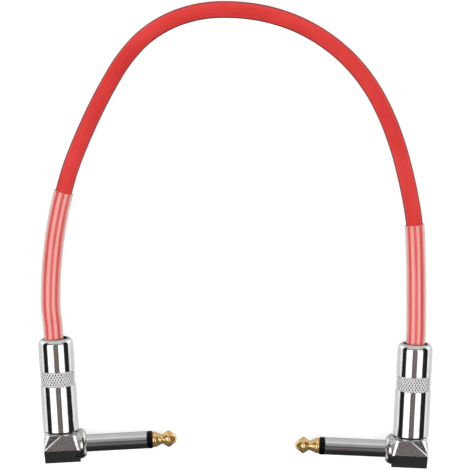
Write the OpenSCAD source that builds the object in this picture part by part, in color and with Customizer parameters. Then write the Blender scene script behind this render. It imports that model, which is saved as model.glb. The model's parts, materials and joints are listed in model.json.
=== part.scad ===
// Short instrument patch cable with a right-angle 6.35 mm mono plug at each end.
// It lies flat: +X to the right, +Y from the plugs to the top of the cord's arch, +Z up.
// The origin is on the table, under the centre of the box round the two plugs.
// A plug's own axes: +Y up its barrel, +X along its finger, 0 at the barrel's seat on the elbow.

/* [Lay] */
// Place of the left plug's barrel seat
left_seat = [-63.4, -10.3]; // [-90:0.05:90]
// Place of the right plug's barrel seat
right_seat = [64.15, -12.25]; // [-90:0.05:90]
// Outward lean of the left plug, degrees
left_lean = 3.15; // [2.6:0.05:4.2]
// Outward lean of the right plug, degrees
right_lean = 2.55; // [2:0.05:3.6]

/* [Barrel] */
// Diameter of the barrel below its knurled band
barrel_d = 12.9; // [12.6:0.1:13.6]
// Thickness of the barrel's wall
barrel_wall = 0.7; // [0.5:0.05:0.9]
// How far the barrel steps in above the band
barrel_step = 0.1; // [0.05:0.05:0.3]
// Length of the plain lower part
barrel_lower_len = 16.9; // [14:0.1:20]
// Length of the knurled band
knurl_len = 5.4; // [3:0.1:7]
// Length of the plain upper part, with the rim
barrel_upper_len = 11.7; // [9:0.1:14]
// Diameter of the hole for the cord
cord_hole_d = 8.8; // [8.4:0.1:9.2]
// Thickness of the end wall round that hole
rim_wall = 1.4; // [1:0.1:2]
// Radial size of the rim's rounding
rim_round_r = 1.6; // [1:0.1:1.9]
// Axial size of the rim's rounding
rim_round_l = 1.9; // [1.4:0.1:4]
// Chamfer at the barrel's mouth
mouth_chamfer = 0.25; // [0.1:0.05:0.4]

/* [Knurl] */
// Diamonds round the barrel
knurl_count = 36; // [24:1:44]
// Half-diamond rows along the band
knurl_rows = 6; // [3:1:8]
// Depth of the grooves
knurl_depth = 0.2; // [0.1:0.02:0.3]
// How far the diamonds stay below the plain barrel above them
knurl_inset = 0.03; // [0.02:0.01:0.1]
// Share of each diamond that stays flat on top
knurl_flat = 0.42; // [0.2:0.02:0.7]

/* [Elbow] */
// How far the flange stays inside the barrel's outline
flange_step = 0.15; // [0.1:0.05:0.5]
// Thickness of the flange
flange_t = 0.8; // [0.5:0.1:1.5]
// Reach of the block on the side away from the finger
outer_reach = 6.45; // [6.2:0.05:6.6]
// Reach of the block's foot on the finger's side
inner_reach = 6.6; // [6.3:0.1:7]
// Depth of the block, from its front face to its back face
block_t = 12.2; // [11.8:0.1:12.4]
// Height of the flat front face, under the flange
face_h = 5.9; // [5:0.1:7]
// Size of the sloped lower faces, along the front face
slope_h = 5.4; // [4.9:0.1:6]
// Size of the sloped lower faces, into the depth
slope_t = 4.5; // [4:0.1:4.9]
// Reach of the front face at the flange, on the finger's side
inner_shoulder = 4.5; // [3.6:0.1:4.8]
// Reach of the front face at the foot, on the finger's side
inner_foot = 6.0; // [5.5:0.1:6.2]
// Width of the bevels on the finger's side, at the flange
inner_bevel = 1.0; // [0.4:0.1:1.2]
// Depth of those bevels
bevel_t = 0.45; // [0.2:0.05:0.8]
// Turn at which the flat of the outer corner ends, degrees from the front
corner_flat = 41.6; // [30:0.2:60]
// Wall of the threaded stub
stub_wall = 1.7; // [1.5:0.1:2]
// Length of the threaded stub
stub_len = 5.5; // [4.5:0.1:7]
// Diameter of the round collar at the root of the finger
collar_d = 11.2; // [10.4:0.1:11.8]
// Distance of the collar's face from the barrel's axis
collar_reach = 9.0; // [8.4:0.1:10]
// Rounding of the collar's rim
collar_round = 2.2; // [1:0.1:2.3]
// Diameter of the pressed end cap
end_cap_d = 5.2; // [4.6:0.1:5.6]
// Thickness of the end cap
end_cap_t = 1.2; // [0.8:0.1:1.5]

/* [Finger] */
// Distance of the finger's axis below the barrel's seat
finger_drop = 5.55; // [5.3:0.05:5.7]
// Diameter of the sleeve, a standard size
sleeve_d = 6.35; // [6.25:0.05:6.35]
// Diameter of the sleeve's shank, pressed into the elbow
shank_d = 5.6; // [5.4:0.1:5.8]
// Bore of the sleeve
sleeve_bore_d = 4.3; // [4:0.1:4.6]
// Length of sleeve outside the collar
sleeve_len = 22.2; // [19:0.1:24]
// Distance of the sleeve's rear end from the stub's bore
rear_gap = 0.3; // [0.2:0.1:0.6]
// Length of the black insulating ring
ring_len = 1.9; // [1.2:0.1:2.5]
// Length of the ring's spigot inside the sleeve
ring_spigot_len = 3.0; // [1.5:0.1:5]
// Length of the tip
tip_len = 8.8; // [8:0.1:9.6]
// Diameter of the tip's shoulder
tip_shoulder_d = 5.6; // [5:0.1:6.2]
// Length of the tip's shoulder
tip_shoulder_len = 1.3; // [0.8:0.1:1.8]
// Diameter of the tip's neck
tip_neck_d = 3.5; // [3.2:0.1:4]
// Distance of the neck from the ring
tip_neck_at = 3.5; // [3:0.1:4]
// Diameter of the tip's bulge
tip_bulge_d = 5.95; // [5.4:0.05:6.3]
// Distance of the bulge from the ring
tip_bulge_at = 6.0; // [5.4:0.1:6.6]
// Diameter of the blunt nose
tip_nose_d = 2.5; // [1.6:0.1:3]
// Half length of the blends where the tip's cones meet
tip_blend = 0.45; // [0.2:0.05:0.6]
// Radial size of those blends
tip_blend_r = 0.1; // [0.05:0.01:0.15]
// Chamfer at the tip's rear edge
tip_chamfer = 0.15; // [0.05:0.05:0.25]
// Chamfer round the nose
nose_chamfer = 0.3; // [0.1:0.1:0.5]
// Diameter of the rod behind the tip
rod_d = 2.0; // [1.6:0.1:2.4]
// Diameter of the rod's riveted head
rivet_d = 3.4; // [3:0.1:4]
// Height of the riveted head
rivet_h = 0.6; // [0.4:0.1:1]

/* [Terminals] */
// Thickness of the insulating washer behind the sleeve
washer_t = 0.8; // [0.5:0.1:1.2]
// Thickness of the stamped terminals
strip_t = 0.5; // [0.4:0.05:0.6]
// Width of the tip lug
lug_w = 3.6; // [3:0.1:4.2]
// Height of the lug's top above the seat
lug_top = 12.5; // [11:0.1:14]
// How far the lug's upper part stands inwards of its foot
lug_shift = 1.2; // [0.8:0.1:1.6]
// Length over which a strip shifts beside the stub's rim
shift_len = 2.0; // [1.5:0.1:2.5]
// Length over which the ground strip runs in to the cord
strip_run_in = 4.0; // [3:0.1:5]
// Width of the ground strip
strip_w = 3.8; // [3:0.1:4.6]
// Height of the crimp's lower end above the seat
crimp_from = 18.6; // [18:0.1:20]
// Length of the crimp
crimp_len = 4.6; // [3:0.1:5.5]
// Length of the drop of solder on the lug
tip_drop_len = 3.1; // [2.5:0.1:4]
// Length of the drop of solder on the twisted shield
shield_drop_len = 3.4; // [2.5:0.1:4]
// How far that drop stands out from the shield
shield_drop_t = 0.4; // [0.2:0.05:0.5]
// Opening between the crimp's two ears
crimp_gap = 1.6; // [1:0.1:3]

/* [Liner] */
// Wall of the plastic liner inside the barrel
liner_wall = 0.4; // [0.3:0.05:0.45]

/* [Cord] */
// Diameter of the cord
cord_d = 6.1; // [5.8:0.1:6.2]
// Wall of the clear tubing over the cord
boot_wall = 0.53; // [0.4:0.01:0.6]
// Diameter of the core's insulation
core_d = 2.8; // [2.2:0.1:3.2]
// Diameter of the centre conductor
wire_d = 0.9; // [0.6:0.1:1.2]
// Diameter of the twisted shield
pigtail_d = 1.2; // [0.8:0.1:1.6]
// Length of the twisted shield beyond the jacket
pigtail_len = 6.6; // [5.5:0.1:7]
// Height of the jacket's cut end above the seat
jacket_end = 17.2; // [16.5:0.1:18]
// Length of core insulation left beyond the jacket
core_len = 4.6; // [4:0.1:5]
// How far the bare wire stands out below the lug's drop of solder
wire_out = 0.5; // [0.3:0.1:1]
// How far the cord runs straight out of a barrel
straight_out = 4.5; // [3:0.1:6]
// Height of the clear tubing's end inside the barrel
boot_end = 25.0; // [24.5:0.1:27]

/* [Fits] */
// Radial clearance of the barrel on the stub's thread, and of the liner in the barrel
thread_gap = 0.05; // [0.02:0.01:0.1]
// Radial clearance of pieces pressed or pushed into each other
press_gap = 0.02; // [0.01:0.01:0.04]
// Radial clearance of the liner round the ground clamp's ring
clamp_gap = 0.2; // [0.1:0.05:0.3]
// Gap between pieces that pass each other
pass_gap = 0.4; // [0.3:0.05:0.6]

/* [Hidden] */
$fn = 48;

// Overlap that joins solids of one piece
bite = 0.3;
axis_h = barrel_d / 2;

// Barrel
barrel_len = barrel_lower_len + knurl_len + barrel_upper_len;
barrel_bore_d = barrel_d - 2 * barrel_wall;
barrel_top_d = barrel_d - 2 * barrel_step;

// Elbow, measured down the plug's -Y from the barrel's seat
flange_d = barrel_d - 2 * flange_step;
stub_d = barrel_bore_d - 2 * thread_gap;
stub_bore_d = stub_d - 2 * stub_wall;
face_bottom = -flange_t - face_h;
block_bottom = face_bottom - slope_h;
block_r = block_t / 2;
bore_depth = finger_drop + shank_d / 2 + pass_gap;

// Finger, measured along the plug's +X from the barrel's axis
sleeve_rear = stub_bore_d / 2 + rear_gap;
sleeve_front = collar_reach + sleeve_len;
ring_front = sleeve_front + ring_len;
washer_rear = sleeve_rear - washer_t;
lug_rear = washer_rear - strip_t;

// Liner
liner_from = stub_len + strip_t + press_gap;
liner_to = barrel_len - rim_wall - thread_gap;
liner_d = barrel_bore_d - 2 * thread_gap;

// Terminals
lug_joggle = stub_len + shift_len / 2;
lug_inset = lug_rear - lug_shift;
clamp_x = -(cord_d / 2 + press_gap);
clamp_ring_d = liner_d - 2 * (liner_wall + clamp_gap);
clamp_ring_r = (clamp_ring_d + stub_bore_d) / 4;
crimp_r = cord_d / 2 + press_gap;
pigtail_x = clamp_x + pigtail_d / 2 + press_gap;

// Cord: how far the left cord sits off its barrel's axis, at heights above the seat
exit_shift = -0.35;
cord_r = cord_d / 2;
boot_r = cord_r + press_gap + boot_wall;
cord_sides = 10;
// Where the cord passes the barrel's end wall
lead_in = barrel_len - rim_wall / 2;

// Route of the cord between the plugs: places on the table, and height of its centre above
// the height at which it lies. It comes down from the barrels and off the clear tubing.
left_lead = [[0, jacket_end, 0], [0, boot_end, 0], [exit_shift, lead_in, 0],
             [exit_shift, barrel_len + straight_out, 0]];
right_lead = [[0, barrel_len + straight_out, 0], [0, lead_in, 0], [0, boot_end, 0],
              [0, jacket_end, 0]];
table_route = [
    [-67.0, 36.0, 2.9], [-67.0, 47.5, 1.5], [-66.0, 59.5, 0.6], [-64.2, 70.0, 0.6],
    [-62.6, 77.0, 0.6], [-60.0, 86.0, 0.2], [-56.5, 95.0, 0], [-52.0, 105.5, 0],
    [-46.8, 115.8, 0], [-40.5, 126.0, 0], [-32.7, 134.7, 0], [-22.6, 140.9, 0],
    [-11.2, 144.1, 0], [0.6, 144.5, 0], [12.2, 142.7, 0], [23.4, 138.8, 0],
    [33.7, 132.8, 0], [42.5, 124.9, 0], [49.6, 115.4, 0], [55.1, 104.8, 0],
    [59.3, 93.5, 0], [62.2, 82.0, 0], [64.2, 72.0, 0.3], [65.3, 65.0, 0.6],
    [65.7, 58.0, 0.6], [66.0, 46.5, 1.5], [65.9, 35.0, 2.9]];
left_boot_points = 5;
right_boot_points = 4;

// A point of a plug's own XY plane, on the table
function from_left(p) =
    [left_seat.x + p.x * cos(left_lean) - p.y * sin(left_lean),
     left_seat.y + p.x * sin(left_lean) + p.y * cos(left_lean), axis_h];
function from_right(p) =
    [right_seat.x - p.x * cos(right_lean) + p.y * sin(right_lean),
     right_seat.y + p.x * sin(right_lean) + p.y * cos(right_lean), axis_h];
function on_table(p) = [p.x, p.y, cord_r + p.z];
route = concat([for (p = left_lead) from_left(p)],
               [for (p = table_route) on_table(p)],
               [for (p = right_lead) from_right(p)]);
left_boot_route = [for (i = [1 : len(left_lead) + left_boot_points - 1]) route[i]];
right_boot_route = [for (i = [len(route) - len(right_lead) - right_boot_points :
                              len(route) - 2]) route[i]];

function unit(v) = v / norm(v);
// Direction of the route at point i, between its neighbours
function heading(r, i) = unit(r[min(i + 1, len(r) - 1)] - r[max(i - 1, 0)]);
// One ring of points round the route at point i
function ring_points(r, i, radius) =
    let (h = heading(r, i), side = unit(cross(h, [0, 0, 1])), up = cross(side, h))
    [for (k = [0 : cord_sides - 1])
        let (a = 360 * (k + 0.5) / cord_sides)
        r[i] + radius * (cos(a) * side + sin(a) * up)];
// Faces that join ring a to ring b, two triangles a side
function band_faces(a, b, n = cord_sides) =
    [for (k = [0 : n - 1])
        let (m = (k + 1) % n)
        each [[a + k, a + m, b + k], [a + m, b + m, b + k]]];

// A solid cord along a route
module swept_rod(r, radius) {
    n = cord_sides;
    last = (len(r) - 1) * n;
    polyhedron(
        points = [for (i = [0 : len(r) - 1]) each ring_points(r, i, radius)],
        faces = concat(
            [for (i = [0 : len(r) - 2]) each band_faces(i * n, (i + 1) * n)],
            [for (k = [1 : n - 2]) [0, k + 1, k]],
            [for (k = [1 : n - 2]) [last, last + k, last + k + 1]]));
}

// A tube along a route: outer rings first, then inner rings
module swept_tube(r, outer, inner) {
    n = cord_sides;
    m = len(r);
    last = (m - 1) * n;
    polyhedron(
        points = concat([for (i = [0 : m - 1]) each ring_points(r, i, outer)],
                        [for (i = [0 : m - 1]) each ring_points(r, i, inner)]),
        faces = concat(
            [for (i = [0 : m - 2]) each band_faces(i * n, (i + 1) * n)],
            [for (i = [0 : m - 2]) each band_faces(m * n + (i + 1) * n, m * n + i * n)],
            band_faces(m * n, 0),
            band_faces(last, m * n + last)));
}

// Puts a piece that is drawn about Z on the barrel's axis, or on the finger's axis
module on_barrel(h = 0) { translate([0, h, 0]) rotate([-90, 0, 0]) children(); }
module on_finger(x = 0) { translate([x, -finger_drop, 0]) rotate([0, 90, 0]) children(); }

// Puts a plug where it lies. The right plug is the same piece turned over.
module left_plug() {
    translate([left_seat.x, left_seat.y, axis_h]) rotate([0, 0, left_lean]) children();
}
module right_plug() {
    translate([right_seat.x, right_seat.y, axis_h])
        rotate([0, 0, -right_lean]) rotate([0, 180, 0]) children();
}

// Barrel shell ----------------------------------------------------------------------------

// Corner radii of the knurl's lattice: grooves cross where i + j is even, and a diamond
// stands where it is odd.
function knurl_point(i, j, r) =
    let (a = 180 * i / knurl_count, z = knurl_len * j / knurl_rows)
    [r * cos(a), r * sin(a), z];
function knurl_index(i, j) = j * 2 * knurl_count + (i % (2 * knurl_count));

// A drum covered with blunt diamonds, one closed surface
module knurled_drum(r) {
    cols = 2 * knurl_count;
    f = knurl_flat;
    valley = [for (j = [0 : knurl_rows]) each [for (i = [0 : cols - 1])
        knurl_point(i, j, r - knurl_depth)]];
    cells = [for (j = [0 : knurl_rows]) each [for (i = [0 : cols - 1])
        if ((i + j) % 2 == 1) [i, j]]];
    // Four corners on top of each diamond: left, top, right, bottom
    tops = [for (c = cells) each [
        knurl_point(c.x - f, c.y, r), knurl_point(c.x, min(c.y + f, knurl_rows), r),
        knurl_point(c.x + f, c.y, r), knurl_point(c.x, max(c.y - f, 0), r)]];
    base = len(valley);
    // Centres of the two end discs
    low_mid = base + len(tops);
    high_mid = low_mid + 1;
    faces = [for (n = [0 : len(cells) - 1])
        let (i = cells[n].x, j = cells[n].y, t = base + 4 * n,
             left = knurl_index(i - 1 + cols, j), right = knurl_index(i + 1, j),
             up = knurl_index(i, j + 1), down = knurl_index(i, j - 1))
        each concat(
            j < knurl_rows
                ? [[left, t + 1, t], [left, up, t + 1], [up, t + 2, t + 1],
                   [up, right, t + 2], [t, t + 1, t + 2]]
                : [[high_mid, t, left], [high_mid, t + 2, t], [high_mid, right, t + 2]],
            j > 0
                ? [[right, t + 3, t + 2], [right, down, t + 3], [down, t, t + 3],
                   [down, left, t], [t, t + 2, t + 3]]
                : [[low_mid, left, t], [low_mid, t, t + 2], [low_mid, t + 2, right]])];
    polyhedron(points = concat(valley, tops, [[0, 0, 0], [0, 0, knurl_len]]),
               faces = faces);
}

// Outline of the barrel above its band, with an elliptical rim
function rim_outline() =
    [for (a = [0 : 10 : 90])
        [barrel_top_d / 2 - rim_round_r + rim_round_r * cos(a),
         barrel_len - rim_round_l + rim_round_l * sin(a)]];

module barrel_shell() {
    band_from = barrel_lower_len;
    band_to = band_from + knurl_len;
    color("gainsboro") on_barrel() difference() {
        union() {
            rotate_extrude() polygon(concat(
                [[0, 0], [barrel_d / 2 - mouth_chamfer, 0], [barrel_d / 2, mouth_chamfer],
                 [barrel_d / 2, band_from], [0, band_from]]));
            translate([0, 0, band_from]) knurled_drum(barrel_top_d / 2 - knurl_inset);
            rotate_extrude() polygon(concat(
                [[0, band_to], [barrel_top_d / 2, band_to]], rim_outline(),
                [[0, barrel_len]]));
        }
        translate([0, 0, -bite])
            cylinder(d = barrel_bore_d, h = barrel_len - rim_wall + bite);
        translate([0, 0, barrel_len - rim_wall - bite])
            cylinder(d = cord_hole_d, h = rim_wall + 2 * bite);
    }
}

module barrel_liner() {
    color("ivory", 0.6) on_barrel(liner_from) difference() {
        cylinder(d = liner_d, h = liner_to - liner_from);
        translate([0, 0, -bite])
            cylinder(d = liner_d - 2 * liner_wall, h = liner_to - liner_from + 2 * bite);
    }
}

// Elbow -----------------------------------------------------------------------------------

// Outer half of the block's outline under the flange: a flat from the front to the turn at
// which the round begins, then the round, and the same at the back
function outer_outline() =
    let (turns = [corner_flat, for (n = [1 : 4]) corner_flat + (90 - corner_flat) * n / 4])
    concat([[0, block_r]], [for (a = turns) block_r * [-sin(a), cos(a)]],
           [for (n = [3 : -1 : 0]) block_r * [-sin(turns[n]), -cos(turns[n])]],
           [[0, -block_r]]);

// Outer half of the block: round under the flange, square at its foot
module outer_block() {
    foot = 0.01;
    hull() {
        on_barrel(-flange_t - foot) linear_extrude(height = foot) polygon(outer_outline());
        translate([-outer_reach, face_bottom, -block_t / 2])
            cube([outer_reach, foot, block_t]);
    }
}

// Inner half of the block, with its side sloping out to the foot and its two bevels
module inner_block() {
    hull() {
        linear_extrude(height = block_t - 2 * bevel_t, center = true)
            polygon([[0, -flange_t], [inner_shoulder + inner_bevel, -flange_t],
                     [inner_reach, face_bottom], [0, face_bottom]]);
        linear_extrude(height = block_t, center = true)
            polygon([[0, -flange_t], [inner_shoulder, -flange_t],
                     [inner_foot, face_bottom], [0, face_bottom]]);
    }
}

// Foot of the block, sloped to the front and to the back
module sloped_foot() {
    half = block_t / 2;
    translate([-outer_reach, 0, 0]) rotate([90, 0, 90])
        linear_extrude(height = outer_reach + inner_reach)
            polygon([[face_bottom + bite, -half], [face_bottom, -half],
                     [block_bottom, slope_t - half], [block_bottom, half - slope_t],
                     [face_bottom, half], [face_bottom + bite, half]]);
}

module collar() {
    on_finger() rotate_extrude() {
        square([collar_d / 2 - collar_round, collar_reach]);
        square([collar_d / 2, collar_reach - collar_round]);
        translate([collar_d / 2 - collar_round, collar_reach - collar_round])
            circle(r = collar_round);
    }
}

module elbow_body() {
    color("silver") difference() {
        union() {
            difference() {
                union() {
                    outer_block();
                    inner_block();
                    sloped_foot();
                    collar();
                }
                // Room for the barrel where it passes the collar
                on_barrel() cylinder(d = barrel_d + 2 * pass_gap, h = barrel_len);
            }
            on_barrel(-flange_t) cylinder(d = flange_d, h = flange_t);
            on_barrel(-bite) cylinder(d = stub_d, h = stub_len + bite);
        }
        on_barrel(-bore_depth) cylinder(d = stub_bore_d, h = bore_depth + barrel_len);
        on_finger() cylinder(d = shank_d + 2 * press_gap, h = collar_reach + bite);
        on_finger(-2 * outer_reach)
            cylinder(d = end_cap_d + 2 * press_gap, h = 2 * outer_reach);
    }
}

module elbow_end_cap() {
    color("gray") on_finger(press_gap - outer_reach)
        cylinder(d = end_cap_d, h = end_cap_t);
}

// Finger ----------------------------------------------------------------------------------

// The sleeve's shoulder seats on the collar's face
module plug_sleeve() {
    color("lightgray") on_finger() difference() {
        union() {
            translate([0, 0, sleeve_rear])
                cylinder(d = shank_d, h = collar_reach - sleeve_rear + bite);
            translate([0, 0, collar_reach]) cylinder(d = sleeve_d, h = sleeve_len);
        }
        translate([0, 0, sleeve_rear - bite])
            cylinder(d = sleeve_bore_d, h = sleeve_front - sleeve_rear + 2 * bite);
    }
}

module insulator_ring() {
    color("#161616") on_finger(sleeve_front) difference() {
        union() {
            cylinder(d = sleeve_d, h = ring_len);
            translate([0, 0, -ring_spigot_len])
                cylinder(d = sleeve_bore_d - 2 * press_gap, h = ring_spigot_len + bite);
        }
        translate([0, 0, -ring_spigot_len - bite])
            cylinder(d = rod_d + 2 * press_gap, h = ring_spigot_len + ring_len + 2 * bite);
    }
}

module rod_insulator() {
    span = sleeve_len + collar_reach - sleeve_rear - ring_spigot_len;
    color("white") on_finger(sleeve_rear) difference() {
        cylinder(d = sleeve_bore_d - 2 * press_gap, h = span);
        translate([0, 0, -bite])
            cylinder(d = rod_d + 2 * press_gap, h = span + 2 * bite);
    }
}

// Outline of the tip: shoulder, neck, bulge and nose, each corner cut by a short blend
function tip_outline() =
    let (b = tip_blend)
    [[0, 0], [tip_shoulder_d / 2 - tip_chamfer, 0], [tip_shoulder_d / 2, tip_chamfer],
     [tip_shoulder_d / 2, tip_shoulder_len],
     [tip_neck_d / 2 + tip_blend_r, tip_neck_at - b], [tip_neck_d / 2, tip_neck_at],
     [tip_neck_d / 2 + tip_blend_r, tip_neck_at + b],
     [tip_bulge_d / 2 - tip_blend_r, tip_bulge_at - b], [tip_bulge_d / 2, tip_bulge_at],
     [tip_bulge_d / 2 - tip_blend_r, tip_bulge_at + b],
     [tip_nose_d / 2, tip_len - nose_chamfer], [tip_nose_d / 2 - nose_chamfer, tip_len],
     [0, tip_len]];

module plug_tip() {
    rear = lug_rear - press_gap;
    color("goldenrod") {
        on_finger(ring_front) rotate_extrude() polygon(tip_outline());
        on_finger(rear - bite) cylinder(d = rod_d, h = ring_front - rear + 2 * bite);
        on_finger(rear - rivet_h) cylinder(d1 = rod_d, d2 = rivet_d, h = rivet_h);
    }
}

module rear_washer() {
    color("saddlebrown") on_finger(washer_rear + press_gap) difference() {
        cylinder(d = shank_d, h = washer_t - 2 * press_gap);
        translate([0, 0, -bite])
            cylinder(d = rod_d + 2 * press_gap, h = washer_t + 2 * bite);
    }
}

// Terminals -------------------------------------------------------------------------------

// A flat strip bent along a line in the XY plane, its left edge on the points given
module bent_strip(points, t, w) {
    n = len(points);
    linear_extrude(height = w, center = true)
        polygon(concat(points, [for (i = [n - 1 : -1 : 0]) points[i] + [t, 0]]));
}

module tip_lug() {
    foot = -finger_drop - lug_w / 2;
    color("gold") difference() {
        bent_strip([[lug_rear, foot], [lug_rear, lug_joggle], [lug_inset, lug_joggle + shift_len],
                    [lug_inset, lug_top]], strip_t, lug_w);
        on_finger(lug_rear - bite)
            cylinder(d = rod_d + 2 * press_gap, h = strip_t + 2 * bite);
    }
}

module ground_clamp() {
    ring_from = stub_len + press_gap;
    foot_x = -clamp_ring_r - strip_t / 2;
    rise = ring_from + strip_t + shift_len;
    color("gold") {
        on_barrel(ring_from) difference() {
            cylinder(d = clamp_ring_d, h = strip_t);
            translate([0, 0, -bite]) cylinder(d = stub_bore_d, h = strip_t + 2 * bite);
        }
        bent_strip([[foot_x, ring_from + strip_t / 2], [foot_x, rise],
                    [clamp_x - strip_t, rise + strip_run_in],
                    [clamp_x - strip_t, crimp_from + strip_t]], strip_t, strip_w);
        on_barrel(crimp_from) difference() {
            cylinder(r = crimp_r + strip_t, h = crimp_len);
            translate([0, 0, -bite]) cylinder(r = crimp_r, h = crimp_len + 2 * bite);
            translate([0, -crimp_gap / 2, -bite])
                cube([2 * cord_d, crimp_gap, crimp_len + 2 * bite]);
        }
    }
}

// Stripped end of the cord
core_from = jacket_end - core_len;
wire_from = lug_top - tip_drop_len - wire_out;
pigtail_from = jacket_end - pigtail_len;
module core_insulation() {
    color("white") on_barrel(core_from) difference() {
        cylinder(d = core_d, h = jacket_end - core_from - press_gap);
        translate([0, 0, -bite])
            cylinder(d = wire_d + 2 * press_gap, h = jacket_end - core_from + 2 * bite);
    }
}

module core_conductor() {
    color("peru") on_barrel(wire_from)
        cylinder(d = wire_d, h = jacket_end - wire_from - press_gap);
}

module shield_pigtail() {
    color("peru") on_barrel(pigtail_from) translate([pigtail_x, 0, 0])
        cylinder(d = pigtail_d, h = jacket_end - pigtail_from - press_gap);
}

// Outline of a drop of solder on a core of radius r, up to t thicker at its middle
function drop_outline(r, t, h) =
    [[0, 0], [r, 0], [r + 0.9 * t, h / 4], [r + t, h / 2], [r + 0.9 * t, 3 * h / 4], [r, h],
     [0, h]];

// Two drops of solder, a few tenths of a millimetre into the strips they hold
module tip_solder() {
    mid = lug_inset / 3;
    r = lug_inset - mid + strip_t - press_gap;
    color("lightsteelblue") difference() {
        on_barrel(lug_top - tip_drop_len) translate([mid, 0, 0])
            rotate_extrude() polygon(drop_outline(r / 2, r / 2, tip_drop_len));
        tip_lug();
        core_conductor();
        core_insulation();
        shield_pigtail();
    }
}

module shield_solder() {
    color("lightsteelblue") difference() {
        on_barrel(core_from) translate([pigtail_x, 0, 0]) rotate_extrude()
            polygon(drop_outline(pigtail_d / 2, shield_drop_t, shield_drop_len));
        ground_clamp();
        shield_pigtail();
        core_insulation();
    }
}

// Cord and clear tubing -------------------------------------------------------------------

module cable_jacket() { color("#d83434") swept_rod(route, cord_r); }
module left_clear_boot() {
    color("#f0a8a8", 0.5) swept_tube(left_boot_route, boot_r, cord_r + press_gap);
}
module right_clear_boot() {
    color("#f0a8a8", 0.5) swept_tube(right_boot_route, boot_r, cord_r + press_gap);
}

left_plug() elbow_body();  // left_elbow_body
left_plug() elbow_end_cap();  // left_elbow_end_cap
left_plug() plug_sleeve();  // left_plug_sleeve
left_plug() insulator_ring();  // left_insulator_ring
left_plug() rod_insulator();  // left_rod_insulator
left_plug() plug_tip();  // left_plug_tip
left_plug() rear_washer();  // left_rear_washer
left_plug() tip_lug();  // left_tip_lug
left_plug() ground_clamp();  // left_ground_clamp
left_plug() tip_solder();  // left_tip_solder
left_plug() shield_solder();  // left_shield_solder
left_plug() core_insulation();  // left_core_insulation
left_plug() core_conductor();  // left_core_conductor
left_plug() shield_pigtail();  // left_shield_pigtail
left_plug() barrel_liner();  // left_barrel_liner
left_plug() barrel_shell();  // left_barrel_shell
left_clear_boot();
cable_jacket();
right_clear_boot();
right_plug() elbow_body();  // right_elbow_body
right_plug() elbow_end_cap();  // right_elbow_end_cap
right_plug() plug_sleeve();  // right_plug_sleeve
right_plug() insulator_ring();  // right_insulator_ring
right_plug() rod_insulator();  // right_rod_insulator
right_plug() plug_tip();  // right_plug_tip
right_plug() rear_washer();  // right_rear_washer
right_plug() tip_lug();  // right_tip_lug
right_plug() ground_clamp();  // right_ground_clamp
right_plug() tip_solder();  // right_tip_solder
right_plug() shield_solder();  // right_shield_solder
right_plug() core_insulation();  // right_core_insulation
right_plug() core_conductor();  // right_core_conductor
right_plug() shield_pigtail();  // right_shield_pigtail
right_plug() barrel_liner();  // right_barrel_liner
right_plug() barrel_shell();  // right_barrel_shell
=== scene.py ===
import json
import math

import bmesh
import bpy
from mathutils import Matrix, Vector
from mathutils.geometry import interpolate_bezier


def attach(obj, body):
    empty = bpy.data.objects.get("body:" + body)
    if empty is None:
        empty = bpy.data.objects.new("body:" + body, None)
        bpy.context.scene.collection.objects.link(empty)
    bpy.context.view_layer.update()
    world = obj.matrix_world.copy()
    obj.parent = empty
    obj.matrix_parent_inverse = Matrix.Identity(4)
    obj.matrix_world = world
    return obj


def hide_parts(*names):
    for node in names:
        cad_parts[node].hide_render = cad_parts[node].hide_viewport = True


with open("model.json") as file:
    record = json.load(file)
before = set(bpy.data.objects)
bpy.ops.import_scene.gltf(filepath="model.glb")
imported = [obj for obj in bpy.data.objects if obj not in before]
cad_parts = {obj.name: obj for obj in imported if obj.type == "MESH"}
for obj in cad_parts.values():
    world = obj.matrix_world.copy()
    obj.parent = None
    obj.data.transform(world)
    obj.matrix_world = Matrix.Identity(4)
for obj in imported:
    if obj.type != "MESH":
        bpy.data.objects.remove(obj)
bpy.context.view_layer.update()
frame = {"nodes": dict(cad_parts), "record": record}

# --- Camera --------------------------------------------------------------------------------
# It looks down on the lead where it lies, ten degrees off the vertical, from the arch's side,
# with both plugs at the foot of the view. It takes in 171 mm of table from side to side.
CAMERA_LEAN = math.radians(10)
CAMERA_REACH = 1.8
CAMERA_AIM = Vector((0.00005, 0.0606, 0))
HALF_VIEW = 0.08545
lens = bpy.data.cameras.new("camera")
lens.angle = 2 * math.atan(HALF_VIEW / CAMERA_REACH)
lens.clip_start = 0.05
lens.clip_end = 60
camera = bpy.data.objects.new("camera", lens)
camera.location = CAMERA_AIM + CAMERA_REACH * Vector(
    (0, math.sin(CAMERA_LEAN), math.cos(CAMERA_LEAN)))
camera.rotation_euler = (-CAMERA_LEAN, 0, 0)
bpy.context.scene.collection.objects.link(camera)
bpy.context.scene.camera = camera
bpy.context.scene.view_settings.view_transform = "Standard"


# --- Red cord ------------------------------------------------------------------------------
# Coaxial instrument cord, 6.1 mm over an extruded red vinyl jacket with a satin skin. It is cut
# square inside each barrel and held there by the ground clamp's crimp.
# Named sizes are in mm, here and below, and sizes in materials are in metres.
CORD_R = 3.05
CORD_SIDES = 36
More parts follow.
